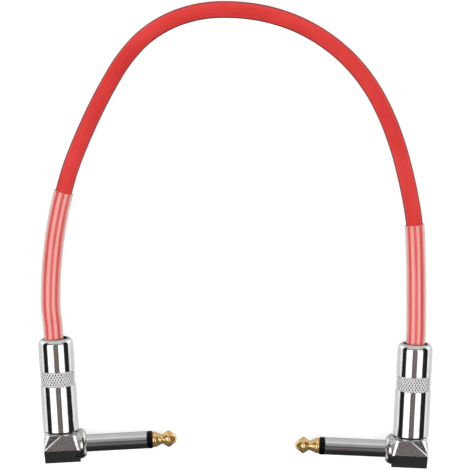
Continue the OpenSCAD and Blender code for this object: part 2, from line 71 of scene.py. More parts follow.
# In each plug the route's points are (towards the finger, up the barrel) from the barrel's seat.
# Between the plugs they are places on the table, with the height of the cord's underside.
LEFT_START = [(0, 17.2), (0, 25), (-0.6, 33.3), (-0.65, 38.5)]
RIGHT_END = [(0, 38.5), (0, 33.3), (0, 25), (0, 17.2)]
ON_TABLE = [
    (-66.9, 36.0, 2.9), (-66.65, 47.5, 1.5), (-65.5, 59.5, 0.6), (-63.7, 70.0, 0.6),
    (-62.05, 77.0, 0.6), (-59.45, 86.0, 0.2), (-56.0, 94.9, 0), (-51.4, 105.2, 0),
    (-46.15, 115.45, 0), (-39.95, 125.55, 0), (-32.15, 134.0, 0), (-22.2, 140.0, 0),
    (-11.05, 143.1, 0), (0.6, 143.45, 0), (12.0, 141.8, 0), (23.05, 138.05, 0),
    (33.25, 132.15, 0), (42.05, 124.5, 0), (49.3, 115.2, 0), (54.85, 104.7, 0),
    (59.05, 93.45, 0), (62.1, 82.0, 0.2), (64.15, 72.0, 0.6), (65.15, 65.0, 0.6),
    (65.55, 58.0, 0.6), (65.85, 46.5, 1.5), (65.9, 35.0, 2.9)]


def plug_place(side):
    """From a plug's own axes in mm, finger along X and barrel up Y from its seat, to the table."""
    row = frame["record"]
    turn = next(j for j in row["behaviour"]["joints"] if j["name"] == side + "_barrel_turn")
    finger = Vector(next(m for m in row["mounts"] if m["name"] == side + "_plug")["axis"])
    up = Vector(turn["axis"])
    axes = Matrix((finger, up, finger.cross(up))).transposed().to_4x4()
    return Matrix.Translation(turn["pos_m"]) @ axes @ Matrix.Scale(0.001, 4)


def cord_line(points, step=0.0015):
    """A smooth line through the points, in short even steps, never lower than its points."""
    line = []
    last = len(points) - 1
    for i in range(last):
        a, b = points[i], points[i + 1]
        reach = (b - a).length / 3
        leave = (b - points[max(i - 1, 0)]).normalized() * reach
        enter = (points[min(i + 2, last)] - a).normalized() * reach
        steps = max(3, round(3 * reach / step) + 1)
        line += [Vector((p.x, p.y, max(p.z, min(a.z, b.z))))
                 for p in interpolate_bezier(a, a + leave, b - enter, b, steps)[:-1]]
    return line + [points[-1]]


def ring_place(line, i):
    """Where the ring round point i of the line stands, square to the line."""
    ahead = (line[min(i + 1, len(line) - 1)] - line[max(i - 1, 0)]).normalized()
    side = ahead.cross(Vector((0, 0, 1))).normalized()
    return Matrix.Translation(line[i]) @ Matrix(
        (side, side.cross(ahead), -ahead)).transposed().to_4x4()


# The radius in metres at which the vinyl's grain is laid out, whatever the piece's own radius
GRAIN_R = 0.003


def drawn_out(name, line, stations, sides, closed):
    """Vinyl drawn along a line. Stations are (point of the line, radius) in the order in which
    the surface runs over them. Each corner remembers its place on the straight cord."""
    bm = bmesh.new()
    drawn = bm.verts.layers.float_vector.new("drawn")
    runs = [0.0]
    for a, b in zip(line, line[1:]):
        runs.append(runs[-1] + (b - a).length)
    place = ring_place(line, stations[0][0]) @ Matrix.Scale(stations[0][1], 4)
    bmesh.ops.create_circle(bm, segments=sides, radius=1, cap_ends=not closed)
    for v in bm.verts:
        v[drawn] = (v.co.x * GRAIN_R, v.co.y * GRAIN_R, runs[stations[0][0]])
    bmesh.ops.transform(bm, matrix=place, verts=bm.verts[:])
    first = edge = bm.edges[:]
    for i, radius in stations[1:]:
        new = bmesh.ops.extrude_edge_only(bm, edges=edge)["geom"]
        corners = [g for g in new if isinstance(g, bmesh.types.BMVert)]
        edge = [g for g in new if isinstance(g, bmesh.types.BMEdge)
                and all(v in set(corners) for v in g.verts)]
        there = ring_place(line, i) @ Matrix.Scale(radius, 4)
        bmesh.ops.transform(bm, matrix=there @ place.inverted(), verts=corners)
        for v in corners:
            v[drawn] = (v[drawn].x, v[drawn].y, runs[i])
        place = there
    if closed:
        bmesh.ops.bridge_loops(bm, edges=list(first) + list(edge))
    else:
        bmesh.ops.edgeloop_fill(bm, edges=edge)
    return finished(name, bm, 40)


def finished(name, bm, sharp):
    """A piece from a bmesh: outward faces, smooth but for corners sharper than that angle."""
    bmesh.ops.recalc_face_normals(bm, faces=bm.faces[:])
    mesh = bpy.data.meshes.new(name)
    bm.to_mesh(mesh)
    bm.free()
    mesh.shade_smooth()
    mesh.set_sharp_from_angle(angle=math.radians(sharp))
    piece = bpy.data.objects.new(name, mesh)
    bpy.context.scene.collection.objects.link(piece)
    even = piece.modifiers.new("even_shading", "WEIGHTED_NORMAL")
    even.keep_sharp = True
    return piece


def surface(name, colour, metallic=0.0, roughness=0.4):
    """A new material and its shader, with what every finish here has in common."""
    material = bpy.data.materials.new(name)
    material.use_nodes = True
    shader = material.node_tree.nodes["Principled BSDF"]
    shader.inputs["Base Color"].default_value = (*colour, 1)
    shader.inputs["Metallic"].default_value = metallic
    shader.inputs["Roughness"].default_value = roughness
    return material, material.node_tree, shader


def speckle(tree, size, detail=2.0, stretch=(1, 1, 1), attribute=None):
    """Noise with patches of about that size in metres, on the piece's own coordinates."""
    if attribute:
        source = tree.nodes.new("ShaderNodeAttribute")
        source.attribute_name = attribute
        point = source.outputs["Vector"]
    else:
        point = tree.nodes.new("ShaderNodeTexCoord").outputs["Object"]
    mapping = tree.nodes.new("ShaderNodeMapping")
    mapping.inputs["Scale"].default_value = stretch
    noise = tree.nodes.new("ShaderNodeTexNoise")
    noise.inputs["Scale"].default_value = 1 / size
    noise.inputs["Detail"].default_value = detail
    tree.links.new(point, mapping.inputs["Vector"])
    tree.links.new(mapping.outputs["Vector"], noise.inputs["Vector"])
    return noise.outputs["Fac"]


def between(tree, value, low, high, socket):
    """Drives a socket between two numbers with a noise."""
    span = tree.nodes.new("ShaderNodeMapRange")
    span.inputs["From Min"].default_value = 0.3
    span.inputs["From Max"].default_value = 0.7
    span.inputs["To Min"].default_value = low
    span.inputs["To Max"].default_value = high
    tree.links.new(value, span.inputs["Value"])
    tree.links.new(span.outputs["Result"], socket)


def tones(tree, value, stops, socket):
    """Colours a socket by a noise, from (place, colour) stops."""
    ramp = tree.nodes.new("ShaderNodeValToRGB")
    for n, (place, colour) in enumerate(stops):
        stop = ramp.color_ramp.elements[n] if n < 2 else ramp.color_ramp.elements.new(place)
        stop.position = place
        stop.color = (*colour, 1)
    tree.links.new(value, ramp.inputs["Fac"])
    tree.links.new(ramp.outputs["Color"], socket)


def relief(tree, shader, layers):
    """Raises the surface by several noises: (value, height in metres) from coarse to fine."""
    under = None
    for value, height in layers:
        bump = tree.nodes.new("ShaderNodeBump")
        bump.inputs["Strength"].default_value = 1
        bump.inputs["Distance"].default_value = height
        tree.links.new(value, bump.inputs["Height"])
        if under:
            tree.links.new(under, bump.inputs["Normal"])
        under = bump.outputs["Normal"]
    tree.links.new(under, shader.inputs["Normal"])


# Where a mix node keeps its two colours and its result
MIX_A, MIX_B, MIX_RESULT = 6, 7, 2


def across(tree, edge, start, end, socket):
    """Colours a socket, going over to the edge colour as the surface turns away from the eye.
    Gives back the socket for the colour in the middle."""
    turned_away = tree.nodes.new("ShaderNodeLayerWeight")
    turned_away.inputs["Blend"].default_value = 0.5
    span = tree.nodes.new("ShaderNodeMapRange")
    span.inputs["From Min"].default_value = start
    span.inputs["From Max"].default_value = end
    tree.links.new(turned_away.outputs["Facing"], span.inputs["Value"])
    mix = tree.nodes.new("ShaderNodeMix")
    mix.data_type = "RGBA"
    tree.links.new(span.outputs["Result"], mix.inputs["Factor"])
    mix.inputs[MIX_B].default_value = (*edge, 1)
    tree.links.new(mix.outputs[MIX_RESULT], socket)
    return mix.inputs[MIX_A]


red_vinyl, tree, shader = surface("red_vinyl_jacket", (0.70, 0.02, 0.02), roughness=0.42)
# Painted shade: the jacket goes dark red towards its outline, as the surface turns away from the
# eye
middle = across(tree, (0.17, 0.010, 0.010), 0.40, 0.62, shader.inputs["Base Color"])
tones(tree, speckle(tree, 0.006, 3, (1, 1, 0.25), "drawn"),
      [(0.35, (0.83, 0.046, 0.042)), (0.65, (0.95, 0.068, 0.062))], middle)
shader.inputs["Specular IOR Level"].default_value = 0.25
between(tree, speckle(tree, 0.002, 4, (1, 1, 0.4), "drawn"), 0.34, 0.52,
        shader.inputs["Roughness"])
relief(tree, shader, [
    (speckle(tree, 0.0016, 2, (1, 1, 0.05), "drawn"), 0.00004),
    (speckle(tree, 0.00022, 3, (1, 1, 1), "drawn"), 0.000012)])

route = [plug_place("left") @ Vector((x, y, 0)) for x, y in LEFT_START]
route += [Vector((x, y, CORD_R + z)) / 1000 for x, y, z in ON_TABLE]
route += [plug_place("right") @ Vector((x, y, 0)) for x, y in RIGHT_END]
run = cord_line(route)
cord = drawn_out("red_cord", run, [(i, CORD_R / 1000) for i in range(len(run))], CORD_SIDES,
                 False)
cord.data.materials.append(red_vinyl)
cord.visible_glossy = False
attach(cord, "cable")
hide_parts("cable_jacket")


# --- Clear tubing --------------------------------------------------------------------------
# A length of clear soft vinyl tubing pushed over each end of the cord and down into the barrel,
# as strain relief. It is 7.2 mm over a wall of half a millimetre, and cut square.
TUBE_WALL = 0.53
TUBE_FIT = 0.02
TUBE_EDGE = 0.08
TUBE_SIDES = 40
# From inside the barrel to the cut end, as points of the cord's route
TUBE_SPANS = (("left", 1, 8), ("right", -8, -2))

clear_vinyl, tree, shader = surface("clear_vinyl_tube", (0.98, 0.14, 0.12), roughness=0.16)
middle = across(tree, (0.90, 0.66, 0.56), 0.36, 0.62, shader.inputs["Base Color"])
tones(tree, speckle(tree, 0.0022, 3, (1, 1, 0.05), "drawn"),
      [(0.35, (0.90, 0.09, 0.09)), (0.65, (1.0, 0.20, 0.17))], middle)
between(tree, speckle(tree, 0.0022, 2, (1, 1, 0.05), "drawn"), 0.72, 0.92,
        shader.inputs["Alpha"])
shader.inputs["Specular IOR Level"].default_value = 0.8
shader.inputs["Coat Weight"].default_value = 1
shader.inputs["Coat IOR"].default_value = 2.2
shader.inputs["Coat Roughness"].default_value = 0.06
relief(tree, shader, [
    (speckle(tree, 0.0035, 2, (1, 1, 0.12), "drawn"), 0.00022),
    (speckle(tree, 0.0011, 2, (1, 1, 0.08), "drawn"), 0.00008)])

for side, *ends in TUBE_SPANS:
    first, last = (min(range(len(run)), key=lambda i: (run[i] - route[end]).length)
                   for end in ends)
    span = run[first:last + 1]
    last = len(span) - 1
    inner = CORD_R + TUBE_FIT
    outer = inner + TUBE_WALL
    stations = [(0, inner), (0, outer - TUBE_EDGE)] + [(i, outer) for i in range(last + 1)]
    stations += [(last, outer - TUBE_EDGE)] + [(i, inner) for i in range(last, 0, -1)]
    tube = drawn_out(side + "_clear_tube", span, [(i, r / 1000) for i, r in stations],
                     TUBE_SIDES, True)
    tube.data.materials.append(clear_vinyl)
    tube.visible_glossy = False
    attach(tube, "cable")
    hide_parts(side + "_clear_boot")


# --- Barrels -------------------------------------------------------------------------------
# Turned brass shell, bright nickel plated, screwed on to the elbow's stub. The band is knurled
# in diamonds with two straight-cut wheels, the rim is rolled over and the mouth is chamfered.
# Heights are from the seat on the flange, up towards the cord.
BARREL_R = 6.45
BARREL_TOP_R = 6.35
BAND_R = 6.32
BARREL_BORE_R = 5.75
BARREL_LEN = 34.0
MOUTH = -0.45
MOUTH_CHAMFER = 0.5
BAND_FROM = 16.9
BAND_TO = 22.3
# Half diamonds up the band, whole ones round it, faces to a half one, and the flat top's share
KNURL_ROWS = 6
KNURL_COUNT = 36
KNURL_CUTS = 6
KNURL_FLAT = 0.3
KNURL_DEPTH = 0.2
# How far the dust and painted shade of a pit reach out from a crossing, in half diamonds
PIT_REACH = 0.7
RIM_FROM = 31.9
RIM_STEP = 0.1
RIM_ROUND_R = 1.62
RIM_ROUND_L = 1.88
RIM_WALL = 1.4
CORD_HOLE_R = 4.4
HOLE_ROUND = 0.16
NEAR = 1e-3
UP_BARREL = Vector((0, 1, 0))
ALONG_FINGER = Vector((1, 0, 0))


def turned(outline, axis, steps, fine=()):
    """Spins an outline of (radius, height) up the barrel or along the finger. A closed outline
    makes a ring. Fine is (a height inside an edge, how many rows to cut it into)."""
    bm = bmesh.new()
    corners = [bm.verts.new((r, h, 0) if axis.y else (h, r, 0)) for r, h in outline]
    for a, b in zip(corners, corners[1:]):
        bm.edges.new((a, b))
    along = 1 if axis.y else 0
    for height, rows in fine:
        bmesh.ops.subdivide_edges(bm, cuts=rows - 1, edges=[
            e for e in bm.edges if min(v.co[along] for v in e.verts) < height
            < max(v.co[along] for v in e.verts)][:1])
    bmesh.ops.spin(bm, geom=bm.verts[:] + bm.edges[:], cent=(0, 0, 0), axis=axis,
                   angle=2 * math.pi, steps=steps, use_merge=True)
    bmesh.ops.remove_doubles(bm, verts=bm.verts[:], dist=1e-4)
    return bm


def rounded(r, h, size_r, size_h, first, last, steps):
    """Points of a rounding, from the angle first to last, about its own centre."""
    return [(r + size_r * math.cos(math.radians(first + (last - first) * n / steps)),
             h + size_h * math.sin(math.radians(first + (last - first) * n / steps)))
            for n in range(steps + 1)]


def knurl(bm):
    """Cuts the crossing grooves into the band, whose faces take the second finish, as those of
    the chamfer and the cord's hole do. Each corner remembers how near it is to the bottom of a
    pit, where two grooves cross, for the dust and painted shade there. The whole chamfer and
    hole count as a pit, so they are painted black as shade."""
    pit_shade = bm.verts.layers.float.new("pit_shade")
    for face in bm.faces:
        if BAND_FROM < face.calc_center_median().y < BAND_TO and all(
                abs(math.hypot(v.co.x, v.co.z) - BAND_R) < NEAR for v in face.verts):
            face.material_index = 1
        # Painted shade: the mouth's chamfer and the cord's hole are painted black all over, as the
        # gap's and the hole's shade
        elif all(v.co.y < MOUTH + MOUTH_CHAMFER + NEAR or
                 math.hypot(v.co.x, v.co.z) < CORD_HOLE_R + 0.7 * HOLE_ROUND
                 for v in face.verts):
            face.material_index = 1
            for v in face.verts:
                v[pit_shade] = 1
    for v in bm.verts:
        if not (BAND_FROM - NEAR < v.co.y < BAND_TO + NEAR and
                abs(math.hypot(v.co.x, v.co.z) - BAND_R) < NEAR):
            continue
        i = math.atan2(v.co.z, v.co.x) / math.pi * KNURL_COUNT
        j = (v.co.y - BAND_FROM) / (BAND_TO - BAND_FROM) * KNURL_ROWS
        off = [abs((i + k + 1) % 2 - 1) for k in (j, -j)]
        v[pit_shade] = max(0, 1 - math.hypot(*off) / PIT_REACH)
        cut = KNURL_DEPTH * (1 - min(1, min(off) / (1 - KNURL_FLAT)))
        v.co.x *= 1 - cut / BAND_R
        v.co.z *= 1 - cut / BAND_R


plate, tree, shader = surface("bright_nickel_barrel", (0.93, 0.92, 0.91), 1, 0.07)
between(tree, speckle(tree, 0.0022, 4), 0.05, 0.13, shader.inputs["Roughness"])
tones(tree, speckle(tree, 0.004, 3), [(0.3, (0.86, 0.85, 0.84)), (0.7, (0.95, 0.945, 0.94))],
      shader.inputs["Base Color"])
relief(tree, shader, [
    (speckle(tree, 0.0045, 1), 0.000008),
    (speckle(tree, 0.0006, 2), 0.000002)])

# Knurling throws up a rougher skin, which the plating follows. Dust and painted shade darken its
# pits where the grooves cross, and the mouth's chamfer and the cord's hole are painted black as
# shade.
rough_plate, tree, shader = surface("nickel_on_knurl", (0.95, 0.95, 0.94), 0.35, 0.34)
painted_pit_shade = tree.nodes.new("ShaderNodeAttribute")
painted_pit_shade.attribute_name = "pit_shade"
tones(tree, painted_pit_shade.outputs["Fac"], [(0.1, (0.97, 0.97, 0.96)), (0.32, (0.02, 0.02, 0.02))],
      shader.inputs["Base Color"])
between(tree, speckle(tree, 0.0009, 3), 0.26, 0.38, shader.inputs["Roughness"])
relief(tree, shader, [(speckle(tree, 0.00025, 2), 0.000012)])

shell = turned(
    [(BARREL_BORE_R + 0.15, MOUTH), (BARREL_R - MOUTH_CHAMFER, MOUTH),
     (BARREL_R, MOUTH + MOUTH_CHAMFER),
     (BARREL_R, BAND_FROM - 0.12), (BARREL_R - 0.05, BAND_FROM - 0.03),
     (BAND_R, BAND_FROM), (BAND_R, BAND_TO), (BARREL_TOP_R, BAND_TO + 0.04),
     (BARREL_TOP_R, RIM_FROM)]
    + rounded(BARREL_TOP_R - RIM_STEP - RIM_ROUND_R, BARREL_LEN - RIM_ROUND_L,
              RIM_ROUND_R, RIM_ROUND_L, 0, 90, 12)
    + [(CORD_HOLE_R + HOLE_ROUND, BARREL_LEN)]
    + rounded(CORD_HOLE_R + HOLE_ROUND, BARREL_LEN - HOLE_ROUND,
              HOLE_ROUND, HOLE_ROUND, 90, 180, 3)
    + [(CORD_HOLE_R, BARREL_LEN - RIM_WALL + 0.1), (CORD_HOLE_R + 0.1, BARREL_LEN - RIM_WALL),
       (BARREL_BORE_R, BARREL_LEN - RIM_WALL),
       (BARREL_BORE_R, MOUTH + 0.15), (BARREL_BORE_R + 0.15, MOUTH)],
    UP_BARREL, 2 * KNURL_CUTS * KNURL_COUNT,
    [((BAND_FROM + BAND_TO) / 2, KNURL_CUTS * KNURL_ROWS)])
knurl(shell)
for side in ("left", "right"):
    bm = shell.copy()
    bmesh.ops.transform(bm, matrix=plug_place(side), verts=bm.verts[:])
    barrel = finished(side + "_barrel", bm, 32)
    barrel.data.materials.append(plate)
    barrel.data.materials.append(rough_plate)
    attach(barrel, side + "_shell")
    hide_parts(side + "_barrel_shell")
shell.free()


# --- Elbows --------------------------------------------------------------------------------
# Zinc die casting, nickel plated over a skin that still shows the flow of the metal. Its flange
# carries the threaded stub. The block goes from round under the flange to square at its foot,
# which slopes away at the front and back, and the collar takes the finger.
# X runs along the finger and Y up the barrel, from the barrel's axis and its seat.
FINGER_DROP = 5.55
FLANGE_R = 6.3
FLANGE_T = 0.8
HALF_T = 6.1
OUTER_REACH = 6.45
INNER_REACH = 6.6
FACE_BOTTOM = -6.7
FOOT_BOTTOM = -12.1
SLOPE_T = 4.5
SHOULDER = 4.5
INNER_FOOT = 5.85
BEVEL_W = 1.0
BEVEL_T = 0.45
FACET_X = -0.42
FACET_T = 0.11
FACET_RISE = 0.46
CORNER_R = 6.1
CORNER_TURNS = (41.6, 59, 66, 72, 78, 84, 90)
EDGE_R = 0.2
BALL_SEGMENTS = 36
STUB_R = 5.7
STUB_LEN = 5.5
STUB_BORE_R = 4.0
BORE_FOOT = -8.75
THREAD_PITCH = 0.75
THREAD_DEPTH = 0.32
COLLAR_FROM = 5.2
COLLAR_R = 5.6
COLLAR_REACH = 9.0
COLLAR_ROUND_R = 2.2
COLLAR_ROUND_L = 2.6
SHANK_R = 2.8
CAP_R = 2.6


def joined(base, tool, operation, skins=()):
    """Joins a tool to a base, or cuts it away, and gives back the result. With skins given, each
    face keeps its own of these materials."""
    solids = []
    for n, bm in enumerate((base, tool)):
        bmesh.ops.recalc_face_normals(bm, faces=bm.faces[:])
        mesh = bpy.data.meshes.new("casting")
        bm.to_mesh(mesh)
        bm.free()
        for finish in skins:
            mesh.materials.append(finish)
        solids.append(bpy.data.objects.new("casting", mesh))
        bpy.context.scene.collection.objects.link(solids[n])
    boolean = solids[0].modifiers.new("join", "BOOLEAN")
    boolean.operation = operation
    boolean.solver = "EXACT"
    boolean.object = solids[1]
    result = bmesh.new()
    result.from_object(solids[0], bpy.context.evaluated_depsgraph_get())
    for solid in solids:
        mesh = solid.data
        bpy.data.objects.remove(solid)
        bpy.data.meshes.remove(mesh)
    return result


def casting_block():
    """The block, with every outer corner rounded: the outer halves of small balls stand at its
    corners, and the skin is drawn tight over them."""
    corners = []
    inset = EDGE_R
    top, foot = MOUTH - FLANGE_T + 0.05 - inset, FACE_BOTTOM
    for z in (1, -1):
        deep = z * (HALF_T - inset)
        corners += [(SHOULDER - inset, top, deep), (0, top, deep),
                    (SHOULDER + BEVEL_W - inset, top, z * (HALF_T - BEVEL_T - inset)),
                    (INNER_FOOT - inset, foot, deep), (-OUTER_REACH + inset, foot, deep),
                    (INNER_REACH - inset, foot - 0.2, z * (HALF_T - BEVEL_T + 0.1 - inset)),
                    (-OUTER_REACH + inset, FOOT_BOTTOM + inset, z * (HALF_T - SLOPE_T - 0.1)),
                    (INNER_REACH - inset, FOOT_BOTTOM + inset, z * (HALF_T - SLOPE_T - 0.1))]
        # A narrow facet along the slanting edge, then the flat and the round of the corner
        corners += [(FACET_X, top, z * (HALF_T - FACET_T - inset)),
                    (-OUTER_REACH + inset, foot + FACET_RISE, z * (HALF_T - FACET_T - inset))]
        for turn in CORNER_TURNS:
            turn = math.radians(turn)
            corners.append((-(CORNER_R - inset) * math.sin(turn), top,
                            z * (CORNER_R - inset) * math.cos(turn)))
    bm = bmesh.new()
    middle = Vector((0, (top + FOOT_BOTTOM) / 2, 0))
    for corner in corners:
        ball = bmesh.ops.create_uvsphere(
            bm, u_segments=BALL_SEGMENTS, v_segments=BALL_SEGMENTS // 2, radius=EDGE_R,
            matrix=Matrix.Translation(corner))["verts"]
        bmesh.ops.delete(bm, geom=[v for v in ball
                                   if (v.co - middle).dot(v.co - Vector(corner)) < 0])
    hull = bmesh.ops.convex_hull(bm, input=bm.verts[:])
    inside = {g for g in hull["geom_interior"] + hull["geom_unused"]
              if isinstance(g, bmesh.types.BMVert)}
    skin = {g for g in hull["geom"] if isinstance(g, bmesh.types.BMFace)}
    bmesh.ops.delete(bm, geom=[f for f in bm.faces if f not in skin], context="FACES_ONLY")
    bmesh.ops.delete(bm, geom=[v for v in bm.verts if v in inside or not v.link_faces],
                     context="VERTS")
    bmesh.ops.dissolve_limit(bm, angle_limit=math.radians(0.4), verts=bm.verts[:],
                             edges=bm.edges[:])
    return bm


def threaded_stub():
    """Flange and stub in one, with the thread running round it from the flange to its end."""
    foot = MOUTH - FLANGE_T
    bm = turned([(0, foot - 0.6), (CORNER_R - 0.4, foot - 0.6), (CORNER_R - 0.4, foot),
                 (FLANGE_R - 0.3, foot), (FLANGE_R, foot + 0.3), (FLANGE_R, foot + 0.4),
                 (FLANGE_R - 0.4, MOUTH), (STUB_R - THREAD_DEPTH, MOUTH),
                 (STUB_R - THREAD_DEPTH, STUB_LEN), (0, STUB_LEN)],
                UP_BARREL, 96, [(STUB_LEN / 2, 72)])
    for v in bm.verts:
        r = math.hypot(v.co.x, v.co.z)
        if r < STUB_R - THREAD_DEPTH - 0.01 or not 0.3 < v.co.y < STUB_LEN - 0.25:
            continue
        turn = v.co.y / THREAD_PITCH - math.atan2(v.co.z, v.co.x) / (2 * math.pi)
        out = THREAD_DEPTH * max(0, 1 - abs((turn % 1) - 0.5) * 2.4)
        v.co.x *= 1 + out / r
        v.co.z *= 1 + out / r
    return bm


def finger_rod(radius, start, end):
    """A plain round bar on the finger's axis, to cut with."""
    bm = bmesh.new()
    bmesh.ops.create_cone(bm, cap_ends=True, segments=64, radius1=radius, radius2=radius,
                          depth=end - start, matrix=Matrix.Translation(
                              ((start + end) / 2, -FINGER_DROP, 0))
                          @ Matrix.Rotation(math.pi / 2, 4, "Y"))
    return bm


def barrel_rod(radius, start, end):
    """The same on the barrel's axis."""
    bm = bmesh.new()
    bmesh.ops.create_cone(bm, cap_ends=True, segments=96, radius1=radius, radius2=radius,
                          depth=end - start, matrix=Matrix.Translation(
                              (0, (start + end) / 2, 0)) @ Matrix.Rotation(math.pi / 2, 4, "X"))
    return bm


cast, tree, shader = surface("nickel_plated_casting", (0.74, 0.72, 0.70), 1, 0.16)
between(tree, speckle(tree, 0.0006, 4), 0.10, 0.26, shader.inputs["Roughness"])
tones(tree, speckle(tree, 0.0007, 4), [(0.36, (0.63, 0.65, 0.64)), (0.64, (0.95, 0.97, 0.96))],
      shader.inputs["Base Color"])
relief(tree, shader, [
    (speckle(tree, 0.0024, 2), 0.000012),
    (speckle(tree, 0.0006, 3), 0.000006)])

# The collar wasn't polished before plating, so the flow lines of the metal still stand out on it
as_cast, tree, shader = surface("plated_collar", (0.85, 0.83, 0.81), 1, 0.2)
between(tree, speckle(tree, 0.0009, 4), 0.12, 0.3, shader.inputs["Roughness"])
tones(tree, speckle(tree, 0.0006, 4), [(0.38, (0.50, 0.48, 0.46)), (0.62, (0.98, 0.96, 0.94))],
      shader.inputs["Base Color"])
relief(tree, shader, [
    (speckle(tree, 0.0013, 3), 0.00003),
    (speckle(tree, 0.0005, 3), 0.000018)])

collar = turned([(0, COLLAR_FROM), (COLLAR_R, COLLAR_FROM)]
                + rounded(COLLAR_R - COLLAR_ROUND_R, COLLAR_REACH - COLLAR_ROUND_L,
                          COLLAR_ROUND_R, COLLAR_ROUND_L, 0, 90, 14)
                + [(0, COLLAR_REACH)], ALONG_FINGER, 96)
bmesh.ops.translate(collar, vec=(0, -FINGER_DROP, 0), verts=collar.verts[:])
collar = joined(collar, barrel_rod(BARREL_R + 0.4, MOUTH, 30), "DIFFERENCE")
for face in collar.faces:
    face.material_index = 1
casting = joined(casting_block(), collar, "UNION", (cast, as_cast))
casting = joined(casting, threaded_stub(), "UNION", (cast, as_cast))
casting = joined(casting, barrel_rod(STUB_BORE_R, BORE_FOOT, 30), "DIFFERENCE", (cast, as_cast))
casting = joined(casting, finger_rod(SHANK_R + 0.02, 0, 12), "DIFFERENCE", (cast, as_cast))
casting = joined(casting, finger_rod(CAP_R + 0.02, -12, 0), "DIFFERENCE", (cast, as_cast))
for side in ("left", "right"):
    bm = casting.copy()
    bmesh.ops.transform(bm, matrix=plug_place(side), verts=bm.verts[:])
    elbow = finished(side + "_elbow", bm, 12)
    elbow.data.materials.append(cast)
    elbow.data.materials.append(as_cast)
    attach(elbow, "cable")
    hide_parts(side + "_elbow_body")
casting.free()


# --- End caps ------------------------------------------------------------------------------
# Stamped nickel-plated disc, pressed into the hole through which the tip's rod was riveted. It
# has a small punch mark at its centre and a broken edge.
CAP_T = 1.2
PUNCH_R = 0.5
PUNCH_DEPTH = 0.12

cap_plate, tree, shader = surface("nickel_cap", (0.70, 0.69, 0.68), 1, 0.24)
between(tree, speckle(tree, 0.0008, 4), 0.18, 0.34, shader.inputs["Roughness"])
relief(tree, shader, [(speckle(tree, 0.0005, 3), 0.000008)])
for side in ("left", "right"):
    disc = turned([(0, PUNCH_DEPTH)] + rounded(0, 0, PUNCH_R, PUNCH_DEPTH, 90, 0, 5)[1:]
                  + [(CAP_R - 0.2, 0), (CAP_R - 0.05, 0.05), (CAP_R, 0.2), (CAP_R, CAP_T),
                     (0, CAP_T)], ALONG_FINGER, 64)
    bmesh.ops.translate(disc, vec=(-OUTER_REACH + 0.02, -FINGER_DROP, 0), verts=disc.verts[:])
    bmesh.ops.transform(disc, matrix=plug_place(side), verts=disc.verts[:])
    cap = finished(side + "_end_cap", disc, 30)
    cap.data.materials.append(cap_plate)
    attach(cap, "cable")
    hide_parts(side + "_elbow_end_cap")


# --- Sleeves -------------------------------------------------------------------------------
# The finger's sleeve, 6.35 mm, turned from brass and bright nickel plated. Its shank is pressed
# into the elbow up to the shoulder, and its front edge is chamfered against the black ring.
SLEEVE_R = 3.175
SLEEVE_BORE_R = 2.15
SLEEVE_REAR = 4.3
SLEEVE_FRONT = 31.2

bright, tree, shader = surface("bright_nickel_sleeve", (0.90, 0.90, 0.90), 1, 0.09)
between(tree, speckle(tree, 0.0018, 4, (0.35, 1, 1)), 0.03, 0.09, shader.inputs["Roughness"])
tones(tree, speckle(tree, 0.0022, 3, (0.3, 1, 1)),
      [(0.3, (0.80, 0.80, 0.80)), (0.7, (0.93, 0.93, 0.93))], shader.inputs["Base Color"])
relief(tree, shader, [
    (speckle(tree, 0.003, 1, (0.3, 1, 1)), 0.00001),
    (speckle(tree, 0.0003, 2, (3, 0.4, 0.4)), 0.0000015)])

for side in ("left", "right"):
    sleeve = turned([(SLEEVE_BORE_R, SLEEVE_REAR), (SHANK_R - 0.1, SLEEVE_REAR),
                     (SHANK_R, SLEEVE_REAR + 0.1), (SHANK_R, COLLAR_REACH),
                     (SLEEVE_R - 0.08, COLLAR_REACH), (SLEEVE_R, COLLAR_REACH + 0.08),
                     (SLEEVE_R, SLEEVE_FRONT - 0.22), (SLEEVE_R - 0.14, SLEEVE_FRONT),
                     (SLEEVE_BORE_R, SLEEVE_FRONT), (SLEEVE_BORE_R, SLEEVE_REAR)],
                    ALONG_FINGER, 96)
    bmesh.ops.translate(sleeve, vec=(0, -FINGER_DROP, 0), verts=sleeve.verts[:])
    bmesh.ops.transform(sleeve, matrix=plug_place(side), verts=sleeve.verts[:])
    finger = finished(side + "_sleeve", sleeve, 30)
    finger.data.materials.append(bright)
    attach(finger, "cable")
    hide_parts(side + "_plug_sleeve")


# --- Insulating rings ----------------------------------------------------------------------
# Black moulded plastic between sleeve and tip, just proud of the sleeve. Its spigot runs back
# inside the sleeve round the tip's rod.
RING_R = SLEEVE_R + 0.05
RING_LEN = 1.9
SPIGOT_LEN = 3.0
ROD_R = 1.0
FIT = 0.02

black, tree, shader = surface("black_moulding", (0.002, 0.002, 0.002), roughness=0.3)
shader.inputs["Specular IOR Level"].default_value = 0.15
between(tree, speckle(tree, 0.0009, 3), 0.22, 0.42, shader.inputs["Roughness"])
relief(tree, shader, [(speckle(tree, 0.0003, 3), 0.000006)])

for side in ("left", "right"):
    ring = turned([(ROD_R + FIT, -SPIGOT_LEN), (SLEEVE_BORE_R - FIT, -SPIGOT_LEN),
                   (SLEEVE_BORE_R - FIT, 0), (SLEEVE_R - 0.06, 0), (RING_R, 0.1),
                   (RING_R, RING_LEN - 0.12), (SLEEVE_R - 0.1, RING_LEN),
                   (ROD_R + FIT, RING_LEN), (ROD_R + FIT, -SPIGOT_LEN)],
                  ALONG_FINGER, 96)
    bmesh.ops.translate(ring, vec=(SLEEVE_FRONT, -FINGER_DROP, 0), verts=ring.verts[:])
    bmesh.ops.transform(ring, matrix=plug_place(side), verts=ring.verts[:])
    insulator = finished(side + "_ring", ring, 30)
    insulator.data.materials.append(black)
    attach(insulator, "cable")
    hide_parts(side + "_insulator_ring")


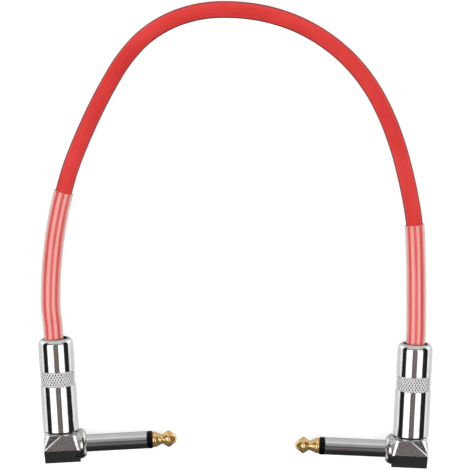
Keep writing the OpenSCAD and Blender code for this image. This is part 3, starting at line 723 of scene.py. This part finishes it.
# --- Tips ----------------------------------------------------------------------------------
# Turned brass, gold plated: shoulder, neck that the socket's spring drops into, bulge and blunt
# nose. Its rod runs back through the finger and is riveted behind the solder lug.
TIP_FROM = 33.1
TIP_LEN = 8.8
TIP_OUTLINE = [
    (0, 0), (2.7, 0), (2.85, 0.15), (2.85, 1.2), (2.65, 1.42), (1.95, 3.0), (1.75, 3.5),
    (1.95, 4.0), (2.9, 5.4), (3.07, 5.85), (2.95, 6.3), (1.55, 8.2), (1.15, 8.58),
    (0.5, TIP_LEN), (0, TIP_LEN)]
ROD_OUTLINE = [(0, 2.05), (1.5, 2.05), (1.7, 2.2), (1.6, 2.4), (ROD_R, 2.68),
               (ROD_R, TIP_FROM + 0.3), (0, TIP_FROM + 0.3)]

gold, tree, shader = surface("gold_plated_tip", (1.0, 0.68, 0.24), 0.82, 0.1)
between(tree, speckle(tree, 0.0012, 4), 0.06, 0.15, shader.inputs["Roughness"])
tones(tree, speckle(tree, 0.0009, 3), [(0.36, (0.97, 0.50, 0.13)), (0.64, (1.0, 0.81, 0.42))],
      shader.inputs["Base Color"])
relief(tree, shader, [
    (speckle(tree, 0.0010, 2), 0.00011),
    (speckle(tree, 0.0003, 2), 0.000004)])

for side in ("left", "right"):
    tip = turned(TIP_OUTLINE, ALONG_FINGER, 96)
    bmesh.ops.translate(tip, vec=(TIP_FROM, -FINGER_DROP, 0), verts=tip.verts[:])
    rod = turned(ROD_OUTLINE, ALONG_FINGER, 48)
    bmesh.ops.translate(rod, vec=(0, -FINGER_DROP, 0), verts=rod.verts[:])
    tip = joined(tip, rod, "UNION")
    bmesh.ops.transform(tip, matrix=plug_place(side), verts=tip.verts[:])
    nose = finished(side + "_tip", tip, 50)
    nose.data.materials.append(gold)
    nose.visible_glossy = False
    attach(nose, "cable")
    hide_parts(side + "_plug_tip")


# --- Pieces inside the plugs ---------------------------------------------------------------
# Solder lug and ground clamp, gold-flashed brass stampings; tinned joints; the cord's stripped
# core and shield; the fibre washer, the rod's plastic tube, and the liner in the barrel.
def dress(node, material):
    """Gives a solid its finish."""
    mesh = frame["nodes"][node].data
    mesh.materials.clear()
    mesh.materials.append(material)


gilt, tree, shader = surface("gold_flashed_brass", (0.85, 0.63, 0.30), 1, 0.22)
between(tree, speckle(tree, 0.0012, 3), 0.16, 0.36, shader.inputs["Roughness"])
tones(tree, speckle(tree, 0.0015, 3), [(0.3, (0.74, 0.52, 0.24)), (0.7, (0.92, 0.72, 0.38))],
      shader.inputs["Base Color"])
tinned, tree, shader = surface("tin_solder", (0.66, 0.67, 0.68), 1, 0.35)
between(tree, speckle(tree, 0.0004, 4), 0.22, 0.50, shader.inputs["Roughness"])
relief(tree, shader, [(speckle(tree, 0.0005, 3), 0.00003)])
bare, tree, shader = surface("copper_strands", (0.78, 0.40, 0.26), 1, 0.32)
tones(tree, speckle(tree, 0.0003, 2, (1, 0.15, 1)),
      [(0.4, (0.36, 0.16, 0.09)), (0.6, (0.88, 0.50, 0.33))], shader.inputs["Base Color"])
relief(tree, shader, [(speckle(tree, 0.00025, 1, (1, 0.15, 1)), 0.00005)])
milk, tree, shader = surface("milky_core_plastic", (0.84, 0.83, 0.79), roughness=0.45)
tones(tree, speckle(tree, 0.0012, 3), [(0.3, (0.78, 0.77, 0.72)), (0.7, (0.88, 0.87, 0.84))],
      shader.inputs["Base Color"])
relief(tree, shader, [(speckle(tree, 0.0003, 2), 0.000008)])
fibre, tree, shader = surface("red_fibre_washer", (0.42, 0.18, 0.10), roughness=0.6)
tones(tree, speckle(tree, 0.0004, 5), [(0.35, (0.30, 0.11, 0.06)), (0.65, (0.52, 0.25, 0.15))],
      shader.inputs["Base Color"])
liner, tree, shader = surface("barrel_liner_plastic", (0.86, 0.84, 0.78), roughness=0.4)
tones(tree, speckle(tree, 0.003, 3), [(0.3, (0.80, 0.78, 0.71)), (0.7, (0.90, 0.88, 0.83))],
      shader.inputs["Base Color"])
relief(tree, shader, [(speckle(tree, 0.0008, 2), 0.00001)])
for side in ("left_", "right_"):
    for piece, material in (
            ("tip_lug", gilt), ("ground_clamp", gilt), ("tip_solder", tinned),
            ("shield_solder", tinned), ("core_conductor", bare), ("shield_pigtail", bare),
            ("core_insulation", milk), ("rod_insulator", milk), ("rear_washer", fibre),
            ("barrel_liner", liner)):
        dress(side + piece, material)


# --- Table and light -----------------------------------------------------------------------
# A pale table, soft boxes to the left and right, and a dim room that the plating reflects: a
# grey-brown ceiling, a light wall past the cord's arch and a dark one on the plugs' side.
white, tree, shader = surface("pale_table", (0.5, 0.5, 0.5), roughness=0.9)
tones(tree, speckle(tree, 0.4, 2), [(0.3, (0.49, 0.49, 0.49)), (0.7, (0.51, 0.51, 0.51))],
      shader.inputs["Base Color"])
shader.inputs["Specular IOR Level"].default_value = 0
shader.inputs["Emission Color"].default_value = (1, 1, 1, 1)
shader.inputs["Emission Strength"].default_value = 0.72
bm = bmesh.new()
bmesh.ops.create_grid(bm, x_segments=4, y_segments=4, size=10)
table = finished("table", bm, 30)
table.data.materials.append(white)
table.visible_glossy = False

# The plating mirrors each box as it is seen; the fill in the same place only lights the rest.
# Each is (name, turn about Y in degrees, width, radiance, mirrored).
SOFT_BOX_LENGTH = 3.0
SOFT_BOX_PLACE = Vector((0, -0.3, 4))
SOFT_BOXES = (
    ("left_soft_box", -36.8, 3.0, 1.3, True), ("right_soft_box", 34.8, 2.62, 1.3, True),
    ("left_fill", -36.8, 3.0, 2.7, False), ("right_fill", 34.8, 2.62, 2.7, False))
for name, turn, width, radiance, mirrored in SOFT_BOXES:
    box = bpy.data.lights.new(name, "AREA")
    box.shape = "RECTANGLE"
    box.size, box.size_y = width, SOFT_BOX_LENGTH
    box.energy = radiance * math.pi * width * SOFT_BOX_LENGTH
    lamp = bpy.data.objects.new(name, box)
    lamp.rotation_euler = (0, math.radians(turn), 0)
    lamp.location = Matrix.Rotation(math.radians(turn), 3, "Y") @ SOFT_BOX_PLACE
    lamp.visible_camera = False
    lamp.visible_glossy = mirrored
    bpy.context.scene.collection.objects.link(lamp)

room = bpy.data.worlds.new("room")
room.use_nodes = True
tree = room.node_tree
tree.nodes.clear()
towards = tree.nodes.new("ShaderNodeSeparateXYZ")
tree.links.new(tree.nodes.new("ShaderNodeTexCoord").outputs["Generated"], towards.inputs[0])


def sums(operation, a, b=None):
    """One step of arithmetic on the direction of a ray."""
    node = tree.nodes.new("ShaderNodeMath")
    node.operation = operation
    for n, value in enumerate((a, b)):
        if isinstance(value, (int, float)):
            node.inputs[n].default_value = value
        elif value is not None:
            tree.links.new(value, node.inputs[n])
    return node.outputs[0]


def wall(stops):
    """Brightness by the angle from the zenith, in degrees."""
    ramp = tree.nodes.new("ShaderNodeValToRGB")
    for n, (angle, colour) in enumerate(stops):
        stop = ramp.color_ramp.elements[n] if n < 2 else ramp.color_ramp.elements.new(angle / 180)
        stop.position = angle / 180
        stop.color = (*colour, 1)
    tree.links.new(down, ramp.inputs["Fac"])
    return ramp.outputs["Color"]


def blend(value, low, high, a, b):
    """Goes from wall a to wall b as the value goes from low to high."""
    span = tree.nodes.new("ShaderNodeMapRange")
    span.inputs["From Min"].default_value = low
    span.inputs["From Max"].default_value = high
    tree.links.new(value, span.inputs["Value"])
    mix = tree.nodes.new("ShaderNodeMix")
    mix.data_type = "RGBA"
    tree.links.new(span.outputs["Result"], mix.inputs["Factor"])
    for socket, colour in ((mix.inputs[MIX_A], a), (mix.inputs[MIX_B], b)):
        tree.links.new(colour, socket)
    return mix.outputs[MIX_RESULT]


def grey(v):
    """A neutral colour of that brightness."""
    return (v, v, v)


# Where the ray goes: 0 at the zenith to 1 straight down, and how squarely it goes to the sides
down = sums("DIVIDE", sums("ARCCOSINE", towards.outputs["Z"]), math.pi)
level_x = sums("MULTIPLY", towards.outputs["X"], towards.outputs["X"])
level_y = sums("MULTIPLY", towards.outputs["Y"], towards.outputs["Y"])
sideways = sums("DIVIDE", level_x, sums("ADD", sums("ADD", level_x, level_y), 0.00001))
BROWN = (0.160, 0.125, 0.125)
CEILING = (0.195, 0.168, 0.163)
OVERHEAD = [(0, CEILING), (11, CEILING), (14, BROWN), (16, BROWN), (18, grey(0.05)),
            (70, grey(0.02))]
sides = wall(OVERHEAD + [(90, grey(0.008)), (95, grey(0.95)), (104, grey(0.92)),
                         (114, grey(0.68)), (180, grey(0.74))])
past_sides = wall(OVERHEAD + [(88, grey(0.02)), (96, grey(1.3)), (122, grey(1.2)),
                              (140, grey(0.7)), (180, grey(0.7))])
front = wall([(0, grey(0.03)), (5, grey(0.04)), (8, CEILING), (11, CEILING), (14, BROWN),
              (16, BROWN), (20, grey(0.13)), (27, grey(0.13)), (34, grey(0.08)),
              (42, grey(0.045)), (50, grey(0.034)), (63, grey(0.022)), (78, grey(0.024)),
              (84, grey(0.014)), (87, grey(0.042)), (93, grey(0.042)), (97, grey(0.008)),
              (110, grey(0.008)), (122, grey(0.06)), (180, grey(0.08))])
behind = wall([(0, grey(0.03)), (5, grey(0.04)), (9, grey(0.09)), (13.6, grey(0.18)),
               (17, grey(0.26)), (26, grey(0.33)), (34, grey(0.29)), (42, grey(0.34)),
               (48, grey(0.48)), (57, grey(0.70)), (72, grey(0.70)), (79, grey(0.58)),
               (92, grey(0.54)), (120, grey(0.57)), (142, grey(0.49)), (180, grey(0.4))])
near_and_far = blend(towards.outputs["Y"], -0.02, 0.02, front, behind)
to_sides = blend(towards.outputs["Y"], 0.12, 0.24, sides, past_sides)
seen = blend(sideways, 0.4, 0.66, near_and_far, to_sides)
pale = tree.nodes.new("ShaderNodeRGB")
pale.outputs[0].default_value = (0.93, 0.93, 0.93, 1)
path = tree.nodes.new("ShaderNodeLightPath")
glow = tree.nodes.new("ShaderNodeBackground")
tree.links.new(blend(path.outputs["Is Camera Ray"], 0, 1, seen, pale.outputs[0]),
               glow.inputs["Color"])
out = tree.nodes.new("ShaderNodeOutputWorld")
tree.links.new(glow.outputs[0], out.inputs["Surface"])
bpy.context.scene.world = room
